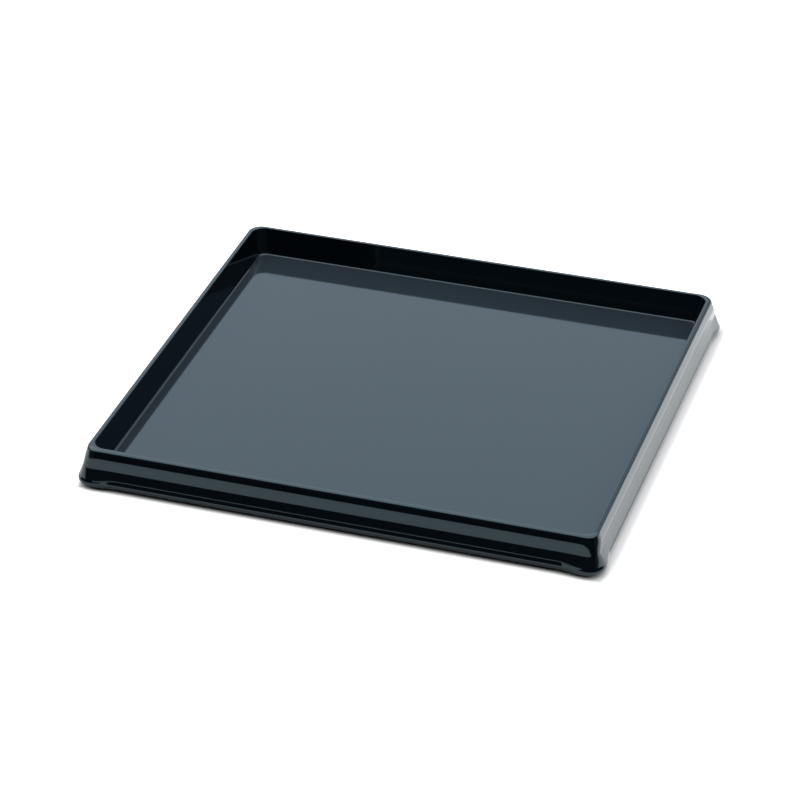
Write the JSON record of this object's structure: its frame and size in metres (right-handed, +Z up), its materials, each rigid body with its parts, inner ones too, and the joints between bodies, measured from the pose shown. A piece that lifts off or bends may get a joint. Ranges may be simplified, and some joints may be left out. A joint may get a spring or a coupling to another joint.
{
  "type": "empty airline meal tray",
  "caption": "Shallow rectangular serving tray in glossy dark plastic, with leaning inner walls, a narrow rolled rim, a flared S-shaped outer skirt and a foot ring.",
  "frame": {"origin": "middle of the footprint, on the surface that the tray stands on", "axes": "+X along the longer side, +Y along the shorter side, +Z up"},
  "size_m": [0.2828, 0.2648, 0.0225],
  "materials": {
    "dark_plastic": "polished near-black navy plastic"
  },
  "bodies": {
    "root": {"tray": "dark_plastic"}
  },
  "joints": []
}
